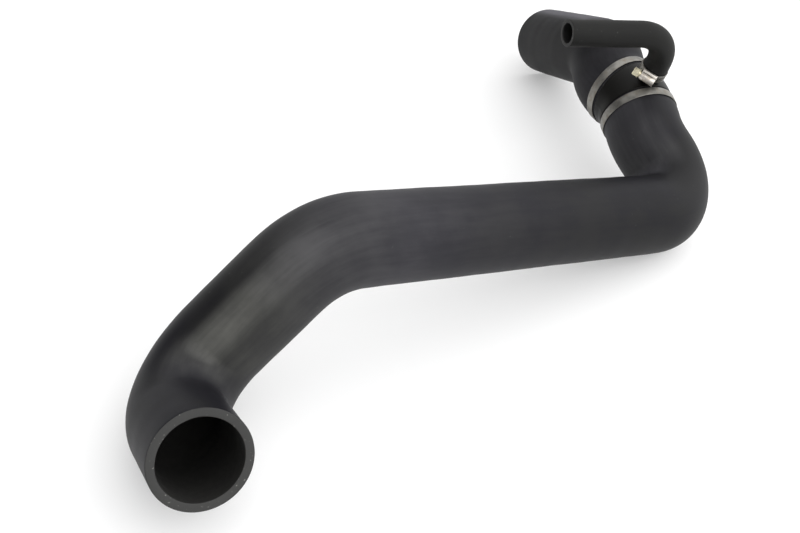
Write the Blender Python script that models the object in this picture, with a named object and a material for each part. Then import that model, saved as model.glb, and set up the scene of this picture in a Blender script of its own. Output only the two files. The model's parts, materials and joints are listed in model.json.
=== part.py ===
"""Moulded oil hose with a branch, lying on a bench as it comes to rest.

Two large formed rubber hoses are joined by an angled tee connector and held
by two ear clamps. A small formed hose sits on the tee's stub under a worm
clamp. Lengths are in millimetres and become metres where meshes are made.
"""
import bpy
import bmesh
import math
from mathutils import Matrix, Vector

MM = 0.001

# Large hoses: the points where the straight runs of their axis would meet,
# from the open front end to the open rear end, with the bend radius at each.
FRONT_END = Vector((-178.0, -324.0, 66.0))
FRONT_BEND = Vector((-219.0, -225.0, 15.3))
SHOULDER_BEND = Vector((-112.0, -173.0, 123.0))
REAR_BEND = Vector((225.8, 31.7, 23.6))
RISE_BEND = Vector((180.1, 76.9, 68.6))
NECK_BEND = Vector((177.7, 92.8, 75.0))
TEE_CENTRE = Vector((171.2, 117.8, 83.5))
ELBOW_NECK_BEND = Vector((155.4, 147.0, 85.9))
ELBOW_BEND = Vector((153.9, 183.2, 95.7))
REAR_END = Vector((125.5, 328.6, 32.0))
FRONT_BEND_RADIUS = 48.0
SHOULDER_BEND_RADIUS = 59.0
REAR_BEND_RADIUS = 42.3
RISE_BEND_RADIUS = 38.0
NECK_BEND_RADIUS = 86.0
TEE_BEND_RADIUS = 40.0
ELBOW_NECK_BEND_RADIUS = 45.0
ELBOW_BEND_RADIUS = 46.5
HOSE_OUTER_RADIUS = 35.0
HOSE_WALL = 6.3

# Small branch hose: it leaves the tee's centre, turns once and ends open.
BRANCH_BEND = Vector((190.0, 98.2, 164.4))
BRANCH_END = Vector((86.1, 66.6, 174.6))
BRANCH_BEND_RADIUS = 35.0
BRANCH_OUTER_RADIUS = 11.75
BRANCH_WALL = 3.25

# Gaps that keep pieces apart.
FACE_GAP = 0.3
BORE_GAP = 0.5
BAND_GAP = 0.4

# Tee connector: a bare middle, a beaded spigot each way and a beaded stub.
TEE_BARE_HALF = 12.0
TEE_BODY_RADIUS = 35.0
TEE_WALL = 2.5
SPIGOT_LENGTH = 12.0
SPIGOT_BEAD_HEIGHT = 0.6
SPIGOT_BEAD_LENGTH = 3.0
SPIGOT_TAPER = 1.5
BODY_CHAMFER = 1.2
BOSS_RADIUS = 10.4
BOSS_RISE = 2.0
STUB_LENGTH = 12.5
STUB_WALL = 1.8
STUB_BEAD_HEIGHT = 0.5
STUB_BEAD_LENGTH = 2.0
STUB_TAPER = 0.8

# Ear clamps on the large hoses.
EAR_BAND_WIDTH = 8.0
EAR_BAND_THICKNESS = 0.8
EAR_BAND_SETBACK = 1.7
EAR_FOOT_HALF = 2.2
EAR_HALF_WIDTH = 5.2
EAR_HEIGHT = 6.5
EAR_NECK_SHARE = 0.25
EAR_SHOULDERS = ((0.6, 1.0), (0.9, 0.8), (1.0, 0.4))

# Worm clamp on the branch hose.
WORM_BAND_WIDTH = 8.0
WORM_BAND_THICKNESS = 0.7
WORM_BAND_SETBACK = 0.7
WORM_FIXED_END_DEG = 14.0
WORM_TAIL_DEG = 50.0
WORM_RAMP_DEG = 30.0
WORM_HOUSING_TURN_DEG = 240.0
BAND_SLOT_LENGTH = 4.6
BAND_SLOT_WIDTH = 0.9
BAND_SLOT_PITCH = 2.1
BAND_SLOT_SLANT_DEG = 8.0
BAND_SLOTS_FROM_DEG = 150.0
BAND_SLOTS_END_MARGIN_DEG = 9.0
BAND_SLOT_OVERRUN = 0.13
HOUSING_LENGTH = 14.0
HOUSING_SHEET = 0.7
HOUSING_ARCH_DEG = 120.0
HOUSING_ARCH_STEP_DEG = 20.0
SCREW_RADIUS = 2.9
SCREW_GAP = 0.35
SCREW_END_INSET = 0.8
SCREW_COLLAR_RADIUS = 3.5
SCREW_COLLAR_LENGTH = 1.0
SCREW_FLANGE_RADIUS = 4.4
SCREW_FLANGE_LENGTH = 1.0
HEX_ACROSS_FLATS = 7.0
HEX_HEIGHT = 5.0
HEX_CHAMFER = 0.6
HEX_SLOT_WIDTH = 1.2
HEX_SLOT_DEPTH = 1.6
CUT_OVERRUN = 1.0

# Facets.
HOSE_SIDES = 32
BRANCH_SIDES = 24
BEND_STEP_DEG = 10.0
BAND_SIDES = 48
SCREW_SIDES = 24
WORM_STEP_DEG = 12.0
SHARP_EDGE_DEG = 38.0

# Limits for the routes: how steep a way takes X for its side, the share of a
# leg that bends may fill, and the least distance between two rings.
STEEP_LIMIT = 0.1
LEG_SHARE = 0.999
LEAST_STEP = 0.01

HOSE_BORE_RADIUS = HOSE_OUTER_RADIUS - HOSE_WALL
SPIGOT_BEAD_RADIUS = HOSE_BORE_RADIUS - BORE_GAP
SPIGOT_RADIUS = SPIGOT_BEAD_RADIUS - SPIGOT_BEAD_HEIGHT
TEE_BORE_RADIUS = SPIGOT_RADIUS - TEE_WALL
BRANCH_BORE_RADIUS = BRANCH_OUTER_RADIUS - BRANCH_WALL
STUB_BEAD_RADIUS = BRANCH_BORE_RADIUS - BORE_GAP
STUB_RADIUS = STUB_BEAD_RADIUS - STUB_BEAD_HEIGHT
STUB_BORE_RADIUS = STUB_RADIUS - STUB_WALL
BOSS_TOP = TEE_BODY_RADIUS + BOSS_RISE

MAIN_SIDE = (TEE_CENTRE - NECK_BEND).normalized()
ELBOW_SIDE = (ELBOW_NECK_BEND - TEE_CENTRE).normalized()
BRANCH_SIDE = (BRANCH_BEND - TEE_CENTRE).normalized()


class Route:
    """Straight runs joined by round bends, measured along its length."""

    def __init__(self, corners, radii):
        legs = [b - a for a, b in zip(corners, corners[1:])]
        ways = [leg.normalized() for leg in legs]
        angles = [a.angle(b) for a, b in zip(ways, ways[1:])]
        takes = [r * math.tan(t / 2) for r, t in zip(radii, angles)]
        shares = [1.0] * len(takes)
        for i, leg in enumerate(legs):
            before = takes[i - 1] if i > 0 else 0.0
            after = takes[i] if i < len(takes) else 0.0
            share = min(1.0, LEG_SHARE * leg.length / max(before + after, LEAST_STEP))
            if i > 0:
                shares[i - 1] = min(shares[i - 1], share)
            if i < len(takes):
                shares[i] = min(shares[i], share)
        self.pieces = []
        self.length = 0.0
        side = self.any_side(ways[0])
        start = corners[0]
        for i, angle in enumerate(angles):
            radius = radii[i] * shares[i]
            take = takes[i] * shares[i]
            stop = corners[i + 1] - ways[i] * take
            self.add("line", (stop - start).length, start, ways[i], side)
            axis = ways[i].cross(ways[i + 1]).normalized()
            centre = stop + axis.cross(ways[i]) * radius
            self.add("bend", radius * angle, stop, ways[i], side, axis, centre)
            side = Matrix.Rotation(angle, 3, axis) @ side
            start = corners[i + 1] + ways[i + 1] * take
        self.add("line", (corners[-1] - start).length, start, ways[-1], side)

    @staticmethod
    def any_side(way):
        side = Vector((0, 0, 1)) - way * way.z
        if side.length < STEEP_LIMIT:
            side = Vector((1, 0, 0)) - way * way.x
        return side.normalized()

    def add(self, kind, length, start, way, side, axis=None, centre=None):
        self.pieces.append((kind, self.length, length, start, way, side, axis, centre))
        self.length += length

    def at(self, distance):
        """Point, way and side direction at a distance along the route."""
        for piece in self.pieces:
            kind, begin, length, start, way, side, axis, centre = piece
            if distance <= begin + length or piece is self.pieces[-1]:
                break
        if kind == "line":
            return start + way * (distance - begin), way, side
        angle = (distance - begin) / (start - centre).length
        turn = Matrix.Rotation(angle, 3, axis)
        return centre + turn @ (start - centre), turn @ way, turn @ side

    def stations(self, begin=None, end=None):
        """Distances that follow every bend in equal steps between two ends."""
        begin = 0.0 if begin is None else begin
        end = self.length if end is None else end
        marks = [begin]
        for kind, at, length, start, way, side, axis, centre in self.pieces:
            if kind == "bend":
                angle = math.degrees(length / (start - centre).length)
                steps = max(1, math.ceil(angle / BEND_STEP_DEG))
                for k in range(steps + 1):
                    mark = at + length * k / steps
                    if begin + LEAST_STEP < mark < end - LEAST_STEP:
                        marks.append(mark)
        marks.append(end)
        return marks


def new_object(name, bm, location=None, turn=None):
    """Object from a bmesh drawn in millimetres in its own frame."""
    bmesh.ops.recalc_face_normals(bm, faces=bm.faces)
    bmesh.ops.scale(bm, vec=(MM, MM, MM), verts=bm.verts)
    mesh = bpy.data.meshes.new(name)
    bm.to_mesh(mesh)
    bm.free()
    obj = bpy.data.objects.new(name, mesh)
    bpy.context.scene.collection.objects.link(obj)
    if turn is not None:
        obj.rotation_mode = "QUATERNION"
        obj.rotation_quaternion = turn.to_quaternion()
    if location is not None:
        obj.location = location * MM
    return obj


def smooth(obj):
    obj.data.shade_smooth()
    obj.data.set_sharp_from_angle(angle=math.radians(SHARP_EDGE_DEG))


def ring(bm, centre, way, side, radius, sides):
    """Loop of vertices round a point, square to the way."""
    other = way.cross(side)
    loop = []
    for k in range(sides):
        a = 2 * math.pi * k / sides
        out = side * math.cos(a) + other * math.sin(a)
        loop.append(bm.verts.new(centre + out * radius))
    return loop


def bridge(bm, one, two):
    n = len(one)
    for k in range(n):
        bm.faces.new((one[k], one[(k + 1) % n], two[(k + 1) % n], two[k]))


def sleeve(name, route, outer, bore, sides, origin):
    """Closed hollow solid along a route: outer and bore are (distance, radius)."""
    bm = bmesh.new()
    loops = []
    for distance, radius in list(outer) + list(reversed(bore)):
        point, way, side = route.at(distance)
        loops.append(ring(bm, point - origin, way, side, radius, sides))
    for one, two in zip(loops, loops[1:] + loops[:1]):
        bridge(bm, one, two)
    return new_object(name, bm, location=origin)


def turned(name, rings, sides, location, turn):
    """Solid of circles or hexagons along its own Z: (height, radius, across)."""
    bm = bmesh.new()
    loops = []
    for height, radius, across in rings:
        loop = []
        for k in range(sides):
            a = 2 * math.pi * k / sides
            reach = radius
            if across:
                sector = (a + math.pi / 6) % (math.pi / 3) - math.pi / 6
                reach = min(radius, across / 2 / math.cos(sector))
            loop.append(bm.verts.new((reach * math.cos(a), reach * math.sin(a), height)))
        loops.append(loop)
    for one, two in zip(loops, loops[1:]):
        bridge(bm, one, two)
    bm.faces.new(loops[0])
    bm.faces.new(loops[-1])
    return new_object(name, bm, location=location, turn=turn)


def strip(name, line, thickness, width, closed, location, turn):
    """Flat sheet bent along a line in its own XY plane, width along Z."""
    bm = bmesh.new()
    n = len(line)
    rows = []
    for i, point in enumerate(line):
        before = line[(i - 1) % n] if closed or i > 0 else point
        after = line[(i + 1) % n] if closed or i < n - 1 else point
        one = (point - before).normalized() if (point - before).length > 0 else None
        two = (after - point).normalized() if (after - point).length > 0 else None
        one = one or two
        two = two or one
        mid = (one + two).normalized()
        normal = Vector((-mid.y, mid.x))
        reach = thickness / 2 / max(0.5, mid.dot(one))
        row = []
        half = width / 2
        for offset, z in ((reach, half), (-reach, half), (-reach, -half), (reach, -half)):
            spot = point + normal * offset
            row.append(bm.verts.new((spot.x, spot.y, z)))
        rows.append(row)
    pairs = list(zip(rows, rows[1:]))
    if closed:
        pairs.append((rows[-1], rows[0]))
    for one, two in pairs:
        bridge(bm, one, two)
    if not closed:
        bm.faces.new(rows[0])
        bm.faces.new(rows[-1])
    return new_object(name, bm, location=location, turn=turn)


def combine(target, tool, operation):
    """Join a tool to an object, or cut it away, and keep the plain mesh."""
    modifier = target.modifiers.new(operation.lower(), "BOOLEAN")
    modifier.operation = operation
    modifier.solver = "EXACT"
    modifier.object = tool
    bpy.context.view_layer.update()
    depsgraph = bpy.context.evaluated_depsgraph_get()
    mesh = bpy.data.meshes.new_from_object(target.evaluated_get(depsgraph))
    target.modifiers.clear()
    target.data = mesh
    bpy.data.objects.remove(tool)


def axes(z_way, x_way):
    """Rotation whose Z is the first way and whose X leans to the second."""
    z = z_way.normalized()
    x = (x_way - z * x_way.dot(z)).normalized()
    y = z.cross(x)
    return Matrix((x, y, z)).transposed()


def material(name, color, roughness, metallic):
    mat = bpy.data.materials.new(name)
    mat.use_nodes = True
    shader = mat.node_tree.nodes["Principled BSDF"]
    shader.inputs["Base Color"].default_value = (*color, 1.0)
    shader.inputs["Roughness"].default_value = roughness
    shader.inputs["Metallic"].default_value = metallic
    mat.diffuse_color = (*color, 1.0)
    return mat


def hose(name, route, outer_radius, bore_radius, sides, origin):
    marks = route.stations()
    outer = [(mark, outer_radius) for mark in marks]
    bore = [(mark, bore_radius) for mark in marks]
    obj = sleeve(name, route, outer, bore, sides, origin)
    smooth(obj)
    return obj


def make_main_hose():
    end = TEE_CENTRE - MAIN_SIDE * (TEE_BARE_HALF + FACE_GAP)
    corners = [FRONT_END, FRONT_BEND, SHOULDER_BEND, REAR_BEND, RISE_BEND, NECK_BEND, end]
    radii = [FRONT_BEND_RADIUS, SHOULDER_BEND_RADIUS, REAR_BEND_RADIUS]
    radii += [RISE_BEND_RADIUS, NECK_BEND_RADIUS]
    route = Route(corners, radii)
    return hose("main_hose", route, HOSE_OUTER_RADIUS, HOSE_BORE_RADIUS, HOSE_SIDES, FRONT_END)


def make_elbow_hose():
    start = TEE_CENTRE + ELBOW_SIDE * (TEE_BARE_HALF + FACE_GAP)
    corners = [start, ELBOW_NECK_BEND, ELBOW_BEND, REAR_END]
    route = Route(corners, [ELBOW_NECK_BEND_RADIUS, ELBOW_BEND_RADIUS])
    return hose("elbow_hose", route, HOSE_OUTER_RADIUS, HOSE_BORE_RADIUS, HOSE_SIDES, start)


def make_branch_hose():
    start = TEE_CENTRE + BRANCH_SIDE * (BOSS_TOP + FACE_GAP)
    route = Route([start, BRANCH_BEND, BRANCH_END], [BRANCH_BEND_RADIUS])
    return hose("branch_hose", route, BRANCH_OUTER_RADIUS, BRANCH_BORE_RADIUS, BRANCH_SIDES, start)


def make_tee_connector():
    reach = TEE_BARE_HALF + SPIGOT_LENGTH
    start = TEE_CENTRE - MAIN_SIDE * reach
    end = TEE_CENTRE + ELBOW_SIDE * reach
    route = Route([start, TEE_CENTRE, end], [TEE_BEND_RADIUS])
    total = route.length
    half = []
    half.append((0.0, SPIGOT_RADIUS - SPIGOT_BEAD_HEIGHT))
    half.append((SPIGOT_TAPER, SPIGOT_BEAD_RADIUS))
    half.append((SPIGOT_BEAD_LENGTH, SPIGOT_BEAD_RADIUS))
    half.append((SPIGOT_BEAD_LENGTH + SPIGOT_TAPER, SPIGOT_RADIUS))
    half.append((SPIGOT_LENGTH, SPIGOT_RADIUS))
    half.append((SPIGOT_LENGTH, TEE_BODY_RADIUS - BODY_CHAMFER))
    half.append((SPIGOT_LENGTH + BODY_CHAMFER, TEE_BODY_RADIUS))
    last = total - half[-1][0]
    middle = [(mark, TEE_BODY_RADIUS) for mark in route.stations(half[-1][0], last)[1:-1]]
    outer = half + middle + [(total - d, r) for d, r in reversed(half)]
    bore = [(mark, TEE_BORE_RADIUS) for mark in route.stations()]
    body = sleeve("tee_connector", route, outer, bore, HOSE_SIDES, TEE_CENTRE)
    turn = axes(BRANCH_SIDE, MAIN_SIDE)
    seat = (TEE_BODY_RADIUS + TEE_BORE_RADIUS) / 2
    tip = BOSS_TOP + STUB_LENGTH
    rings = []
    rings.append((seat, BOSS_RADIUS, None))
    rings.append((BOSS_TOP, BOSS_RADIUS, None))
    rings.append((BOSS_TOP, STUB_RADIUS, None))
    rings.append((tip - STUB_BEAD_LENGTH - STUB_TAPER, STUB_RADIUS, None))
    rings.append((tip - STUB_BEAD_LENGTH, STUB_BEAD_RADIUS, None))
    rings.append((tip - STUB_TAPER, STUB_BEAD_RADIUS, None))
    rings.append((tip, STUB_RADIUS - STUB_BEAD_HEIGHT, None))
    stub = turned("stub", rings, BRANCH_SIDES, TEE_CENTRE, turn)
    combine(body, stub, "UNION")
    low = TEE_BORE_RADIUS - BOSS_RADIUS
    drill = turned("drill", [(low, STUB_BORE_RADIUS, None), (tip + CUT_OVERRUN, STUB_BORE_RADIUS, None)],
                   BRANCH_SIDES, TEE_CENTRE, turn)
    combine(body, drill, "DIFFERENCE")
    smooth(body)
    return body


def make_ear_clamp(name, way):
    """Ring with a pinched ear that points down, on the hose end that faces way."""
    mid_radius = HOSE_OUTER_RADIUS + BAND_GAP + EAR_BAND_THICKNESS / 2
    foot = math.asin(EAR_FOOT_HALF / mid_radius)
    line = []
    for k in range(BAND_SIDES + 1):
        a = foot + (2 * math.pi - 2 * foot) * k / BAND_SIDES
        line.append(Vector((math.cos(a), math.sin(a))) * mid_radius)
    ear = [(EAR_NECK_SHARE, -EAR_FOOT_HALF)]
    ear += [(rise, -out * EAR_HALF_WIDTH) for rise, out in EAR_SHOULDERS]
    ear += [(rise, -y) for rise, y in reversed(ear)]
    for rise, y in ear:
        line.append(Vector((mid_radius + EAR_HEIGHT * rise, y)))
    distance = TEE_BARE_HALF + FACE_GAP + EAR_BAND_SETBACK + EAR_BAND_WIDTH / 2
    place = TEE_CENTRE + way * distance
    turn = axes(way, Vector((0, 0, -1)))
    obj = strip(name, line, EAR_BAND_THICKNESS, EAR_BAND_WIDTH, True, place, turn)
    smooth(obj)
    return obj


WORM_INNER_RADIUS = BRANCH_OUTER_RADIUS + BAND_GAP
WORM_LAYER_STEP = WORM_BAND_THICKNESS + FACE_GAP
WORM_TOP_RADIUS = WORM_INNER_RADIUS + WORM_LAYER_STEP + WORM_BAND_THICKNESS
SCREW_AXIS_RADIUS = WORM_TOP_RADIUS + FACE_GAP + SCREW_RADIUS
WORM_HEIGHT = BOSS_TOP + FACE_GAP + WORM_BAND_SETBACK + WORM_BAND_WIDTH / 2
WORM_CENTRE = TEE_CENTRE + BRANCH_SIDE * WORM_HEIGHT
HOUSING_TURN = Matrix.Rotation(math.radians(WORM_HOUSING_TURN_DEG), 3, "Z")
WORM_TURN = axes(BRANCH_SIDE, Vector((1, 0, 0))) @ HOUSING_TURN
HOUSING_OUT = WORM_TURN.col[0]
HEAD_WAY = -WORM_TURN.col[1]


def worm_band_spot(gone):
    """Point on the middle of the worm clamp's strip, so many degrees from its start."""
    ramp_start = 360.0 - WORM_FIXED_END_DEG / 2 - WORM_RAMP_DEG
    lift = min(1.0, max(0.0, (gone - ramp_start) / WORM_RAMP_DEG))
    lift = (1 - math.cos(math.pi * lift)) / 2
    reach = WORM_INNER_RADIUS + WORM_BAND_THICKNESS / 2 + WORM_LAYER_STEP * lift
    a = math.radians(WORM_FIXED_END_DEG - gone)
    return Vector((math.cos(a), math.sin(a))) * reach


def make_worm_band():
    """Slotted strip that starts under the housing, goes once round and ends over it."""
    total = WORM_FIXED_END_DEG + 360.0 + WORM_TAIL_DEG
    steps = math.ceil(total / WORM_STEP_DEG)
    line = [worm_band_spot(total * k / steps) for k in range(steps + 1)]
    obj = strip("worm_clamp_band", line, WORM_BAND_THICKNESS, WORM_BAND_WIDTH, False,
                WORM_CENTRE, WORM_TURN)
    bm = bmesh.new()
    size = (WORM_BAND_THICKNESS + 2 * BAND_SLOT_OVERRUN, BAND_SLOT_WIDTH, BAND_SLOT_LENGTH)
    slant = Matrix.Rotation(math.radians(BAND_SLOT_SLANT_DEG), 4, "X")
    gone = BAND_SLOTS_FROM_DEG
    while gone < total - BAND_SLOTS_END_MARGIN_DEG:
        spot = worm_band_spot(gone)
        place = Matrix.Translation((spot.x, spot.y, 0.0))
        turn = Matrix.Rotation(math.atan2(spot.y, spot.x), 4, "Z")
        bmesh.ops.create_cube(bm, size=1.0, matrix=place @ turn @ slant @ Matrix.Diagonal((*size, 1.0)))
        gone += math.degrees(BAND_SLOT_PITCH / spot.length)
    cutter = new_object("slots", bm, location=WORM_CENTRE, turn=WORM_TURN)
    combine(obj, cutter, "DIFFERENCE")
    smooth(obj)
    return obj


def make_worm_housing():
    """Bent sheet arch over the screw, with legs beside the band."""
    leg = WORM_BAND_WIDTH / 2 + FACE_GAP + HOUSING_SHEET / 2
    arch = SCREW_RADIUS + SCREW_GAP + HOUSING_SHEET / 2
    foot = WORM_INNER_RADIUS + FACE_GAP
    knee = WORM_TOP_RADIUS + FACE_GAP
    side = [Vector((foot, leg)), Vector((knee, leg))]
    line = list(side)
    steps = round(2 * HOUSING_ARCH_DEG / HOUSING_ARCH_STEP_DEG)
    for k in range(steps + 1):
        a = math.radians(HOUSING_ARCH_DEG * (1 - 2 * k / steps))
        line.append(Vector((SCREW_AXIS_RADIUS + arch * math.cos(a), arch * math.sin(a))))
    line += [Vector((p.x, -p.y)) for p in reversed(side)]
    turn = WORM_TURN @ Matrix(((1, 0, 0), (0, 0, -1), (0, 1, 0)))
    obj = strip("worm_clamp_housing", line, HOUSING_SHEET, HOUSING_LENGTH, False, WORM_CENTRE, turn)
    smooth(obj)
    return obj


def make_worm_screw():
    """Screw on its own axis: Z runs out of the head."""
    inner_end = -HOUSING_LENGTH / 2 + SCREW_END_INSET
    face = HOUSING_LENGTH / 2 + FACE_GAP
    flange = face + SCREW_COLLAR_LENGTH
    base = flange + SCREW_FLANGE_LENGTH
    top = base + HEX_HEIGHT
    corner = HEX_ACROSS_FLATS / 2 / math.cos(math.pi / 6)
    rings = []
    rings.append((inner_end, SCREW_RADIUS, None))
    rings.append((face, SCREW_RADIUS, None))
    rings.append((face, SCREW_COLLAR_RADIUS, None))
    rings.append((flange, SCREW_COLLAR_RADIUS, None))
    rings.append((flange, SCREW_FLANGE_RADIUS, None))
    rings.append((base, SCREW_FLANGE_RADIUS, None))
    rings.append((base, corner, HEX_ACROSS_FLATS))
    rings.append((top - HEX_CHAMFER, corner, HEX_ACROSS_FLATS))
    rings.append((top, corner - HEX_CHAMFER, HEX_ACROSS_FLATS))
    place = WORM_CENTRE + HOUSING_OUT * SCREW_AXIS_RADIUS
    turn = axes(HEAD_WAY, HOUSING_OUT)
    obj = turned("worm_clamp_screw", rings, SCREW_SIDES, place, turn)
    bm = bmesh.new()
    bmesh.ops.create_cube(bm, size=1.0)
    slot = (HEX_SLOT_WIDTH, 2 * (corner + CUT_OVERRUN), 2 * HEX_SLOT_DEPTH)
    bmesh.ops.scale(bm, vec=slot, verts=bm.verts)
    bmesh.ops.translate(bm, vec=(0, 0, top), verts=bm.verts)
    cutter = new_object("slot", bm, location=place, turn=turn)
    combine(obj, cutter, "DIFFERENCE")
    smooth(obj)
    return obj


def main():
    for old in list(bpy.data.objects):
        bpy.data.objects.remove(old, do_unlink=True)
    hose_rubber = material("hose_rubber", (0.030, 0.030, 0.033), 0.46, 0.0)
    branch_rubber = material("branch_rubber", (0.024, 0.025, 0.025), 0.62, 0.0)
    tee_plastic = material("tee_plastic", (0.028, 0.026, 0.023), 0.42, 0.0)
    band_steel = material("band_steel", (0.52, 0.50, 0.46), 0.38, 1.0)
    housing_steel = material("housing_steel", (0.66, 0.62, 0.56), 0.30, 1.0)
    screw_zinc = material("screw_zinc", (0.74, 0.66, 0.42), 0.34, 1.0)
    pieces = [
        (make_main_hose(), hose_rubber),
        (make_elbow_hose(), hose_rubber),
        (make_branch_hose(), branch_rubber),
        (make_tee_connector(), tee_plastic),
        (make_ear_clamp("main_hose_clamp", -MAIN_SIDE), band_steel),
        (make_ear_clamp("elbow_hose_clamp", ELBOW_SIDE), band_steel),
        (make_worm_band(), band_steel),
        (make_worm_housing(), housing_steel),
        (make_worm_screw(), screw_zinc),
    ]
    corners = []
    for obj, mat in pieces:
        obj.data.materials.clear()
        obj.data.materials.append(mat)
    bpy.context.view_layer.update()
    for obj, mat in pieces:
        corners += [obj.matrix_world @ v.co for v in obj.data.vertices]
    low = Vector([min(c[i] for c in corners) for i in range(3)])
    high = Vector([max(c[i] for c in corners) for i in range(3)])
    bench = bpy.data.objects.new("oil_hose", None)
    bpy.context.scene.collection.objects.link(bench)
    bench.location = (-(low.x + high.x) / 2, -(low.y + high.y) / 2, -low.z)
    for obj, mat in pieces:
        obj.parent = bench
    bpy.context.view_layer.update()


main()
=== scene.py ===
"""Looks of a formed oil hose with an angled tee, a branch hose and three clamps."""
import json
import math

import bmesh
import bpy
import numpy as np
from bpy.props import FloatProperty, FloatVectorProperty, IntProperty, PointerProperty
from mathutils import Matrix, Vector


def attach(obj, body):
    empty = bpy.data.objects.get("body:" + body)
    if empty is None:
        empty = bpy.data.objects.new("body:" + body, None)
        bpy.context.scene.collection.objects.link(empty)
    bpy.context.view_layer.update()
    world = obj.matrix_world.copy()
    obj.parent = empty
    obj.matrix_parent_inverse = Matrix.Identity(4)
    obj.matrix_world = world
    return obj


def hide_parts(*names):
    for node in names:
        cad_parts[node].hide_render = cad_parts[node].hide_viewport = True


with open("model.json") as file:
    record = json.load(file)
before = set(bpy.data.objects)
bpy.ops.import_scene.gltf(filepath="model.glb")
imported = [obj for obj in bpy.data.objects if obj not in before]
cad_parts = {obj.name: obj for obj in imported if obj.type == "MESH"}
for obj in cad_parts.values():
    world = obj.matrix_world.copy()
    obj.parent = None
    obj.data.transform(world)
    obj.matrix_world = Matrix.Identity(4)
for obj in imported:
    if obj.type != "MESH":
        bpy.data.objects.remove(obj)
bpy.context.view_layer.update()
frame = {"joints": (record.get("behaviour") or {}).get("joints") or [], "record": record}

bl_info = {
    "name": "Formed oil hose",
    "version": (1, 0, 0),
    "blender": (4, 5, 0),
    "location": "3D View > Sidebar > Hose",
    "description": "Builds a formed oil hose with its tee, branch hose and clamps",
    "category": "Object",
}

MM = 0.001

# Axis points where the straight runs of the hoses would meet, and bend radii.
FRONT_END = Vector((-178.0, -324.0, 66.0)) * MM
FRONT_BEND = Vector((-219.0, -225.0, 15.3)) * MM
SHOULDER_BEND = Vector((-112.0, -173.0, 123.0)) * MM
REAR_BEND = Vector((225.8, 31.7, 23.6)) * MM
RISE_BEND = Vector((180.1, 76.9, 68.6)) * MM
NECK_BEND = Vector((177.7, 92.8, 75.0)) * MM
TEE_CENTRE = Vector((171.2, 117.8, 83.5)) * MM
ELBOW_NECK_BEND = Vector((155.4, 147.0, 85.9)) * MM
ELBOW_BEND = Vector((153.9, 183.2, 95.7)) * MM
REAR_END = Vector((125.5, 328.6, 32.0)) * MM
BRANCH_BEND = Vector((190.0, 98.2, 164.4)) * MM
BRANCH_END = Vector((86.1, 66.6, 174.6)) * MM
MAIN_RADII = (48.0 * MM, 59.0 * MM, 42.3 * MM, 38.0 * MM, 86.0 * MM)
TEE_BEND_RADIUS = 40.0 * MM
ELBOW_RADII = (45.0 * MM, 46.5 * MM)
BRANCH_RADII = (35.0 * MM,)

# Middle of the large hose's wall in the solids, where the record's mount sits.
SOLID_MID_WALL = (35.0 - 6.3 / 2) * MM

MAIN_SIDE = (TEE_CENTRE - NECK_BEND).normalized()
ELBOW_SIDE = (ELBOW_NECK_BEND - TEE_CENTRE).normalized()
BRANCH_SIDE = (BRANCH_BEND - TEE_CENTRE).normalized()


def upright(way):
    """Direction square to a way that leans as far up as it can."""
    side = Vector((0, 0, 1)) - way * way.z
    if side.length < 0.1:
        side = Vector((1, 0, 0)) - way * way.x
    return side.normalized()


def row_offset():
    """Shift from the axis points above to the frame, read at the front end's face."""
    face = next(m for m in frame["record"]["mounts"] if m["name"] == "front_end_face")
    way = (FRONT_END - FRONT_BEND).normalized()
    return Vector(face["pos_m"]) - (FRONT_END + upright(way) * SOLID_MID_WALL)


OFFSET = row_offset()
CAMERA_PLACE = Vector((-108.332, -782.501, 600.692)) * MM
CAMERA_TURN_DEG = (50.882, -4.766, -1.150)

# Gap between the end of a hose and the tee's shoulder, a spigot's bead from its tip, and one
# unit of a UV map.
SEAT_GAP = 0.3 * MM
BEAD_FROM_TIP = 2.0 * MM
UV_UNIT = 100.0 * MM

# Ripples of a moulded wall: waves per metre along it, and waves round it.
RIPPLES = ((7.0, 1), (13.0, 2), (23.0, 3), (31.0, 2), (47.0, 1))

# Floor and lamps, in metres.
FLOOR_REACH = 12.0
FLOOR_LEVEL = -0.3 * MM
KEY_SIZE = 1.6
KEY_PLACE = (0.9, -1.5, 1.4)
FILL_SIZE = 1.4
FILL_PLACE = (1.6, -0.1, 1.2)
LIGHT_AIM = (0.0, 0.0, 0.05)


def millimetres(name, description, value):
    """Setting that holds a length."""
    return FloatProperty(name=name, description=description, default=value * MM, unit="LENGTH")


def swatch(name, description, value):
    """Setting that holds a colour."""
    return FloatVectorProperty(
        name=name, description=description, default=value, subtype="COLOR", size=3)


def amount(name, description, value):
    """Setting that holds a strength or a share."""
    return FloatProperty(name=name, description=description, default=value, min=0.0)


class HoseSizes(bpy.types.PropertyGroup):
    """Sizes of the three hoses."""

    outer: millimetres("Outer radius", "Large hose, outside", 34.9)
    wall: millimetres("Wall", "Large hose wall", 6.2)
    branch_outer: millimetres("Branch radius", "Branch hose, outside", 11.7)
    branch_wall: millimetres("Branch wall", "Branch hose wall", 3.2)
    rim: millimetres("Cut edge", "Rounding of the cut ends", 0.7)
    waviness: millimetres("Waviness", "Moulding unevenness of the walls", 0.16)
    sides: IntProperty(name="Sides", description="Facets round a large hose", default=96, min=24)


class TeeSizes(bpy.types.PropertyGroup):
    """Sizes of the moulded tee connector."""

    bare_half: millimetres("Bare half", "Half of the bare middle", 12.0)
    body: millimetres("Body radius", "Middle of the tee", 34.9)
    spigot: millimetres("Spigot radius", "Spigot between its beads", 27.6)
    bore: millimetres("Bore", "Bore radius", 25.1)
    spigot_length: millimetres("Spigot length", "From shoulder to tip", 12.0)
    boss: millimetres("Boss radius", "Foot of the stub", 10.4)
    boss_rise: millimetres("Boss rise", "Boss above the body", 2.1)
    stub: millimetres("Stub radius", "Stub", 7.5)
    stub_length: millimetres("Stub length", "Above the boss", 12.5)


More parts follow.
